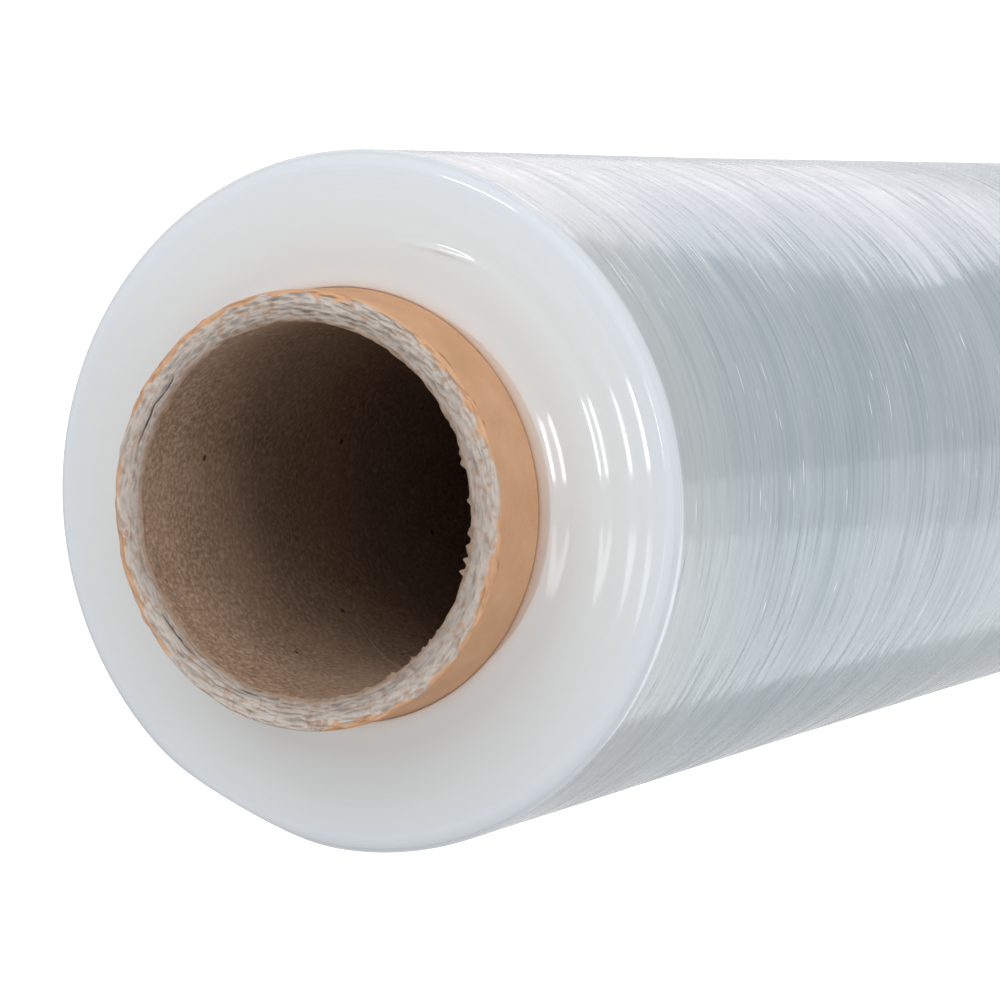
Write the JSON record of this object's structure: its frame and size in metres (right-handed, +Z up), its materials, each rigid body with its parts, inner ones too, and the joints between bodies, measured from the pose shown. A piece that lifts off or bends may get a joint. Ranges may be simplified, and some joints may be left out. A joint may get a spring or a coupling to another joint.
{
  "type": "stretch wrap roll",
  "caption": "Hand roll of clear stretch film wound on a paperboard core that stands out at both ends; the bore takes a mandrel or dispenser spindle.",
  "frame": {"origin": "middle of the core's lower end, which the roll stands on", "axes": "+Z up through the core; -Y is the side that the camera of the main view stands on"},
  "size_m": [0.0972, 0.0972, 0.524],
  "materials": {
    "paperboard": "matt kraft outer ply, grey board at the sawn ends, brown kraft liner",
    "film": "many turns of clear glossy film, milky in depth"
  },
  "bodies": {
    "root": {"paper_core": "paperboard", "film_roll": "film"}
  },
  "joints": []
}
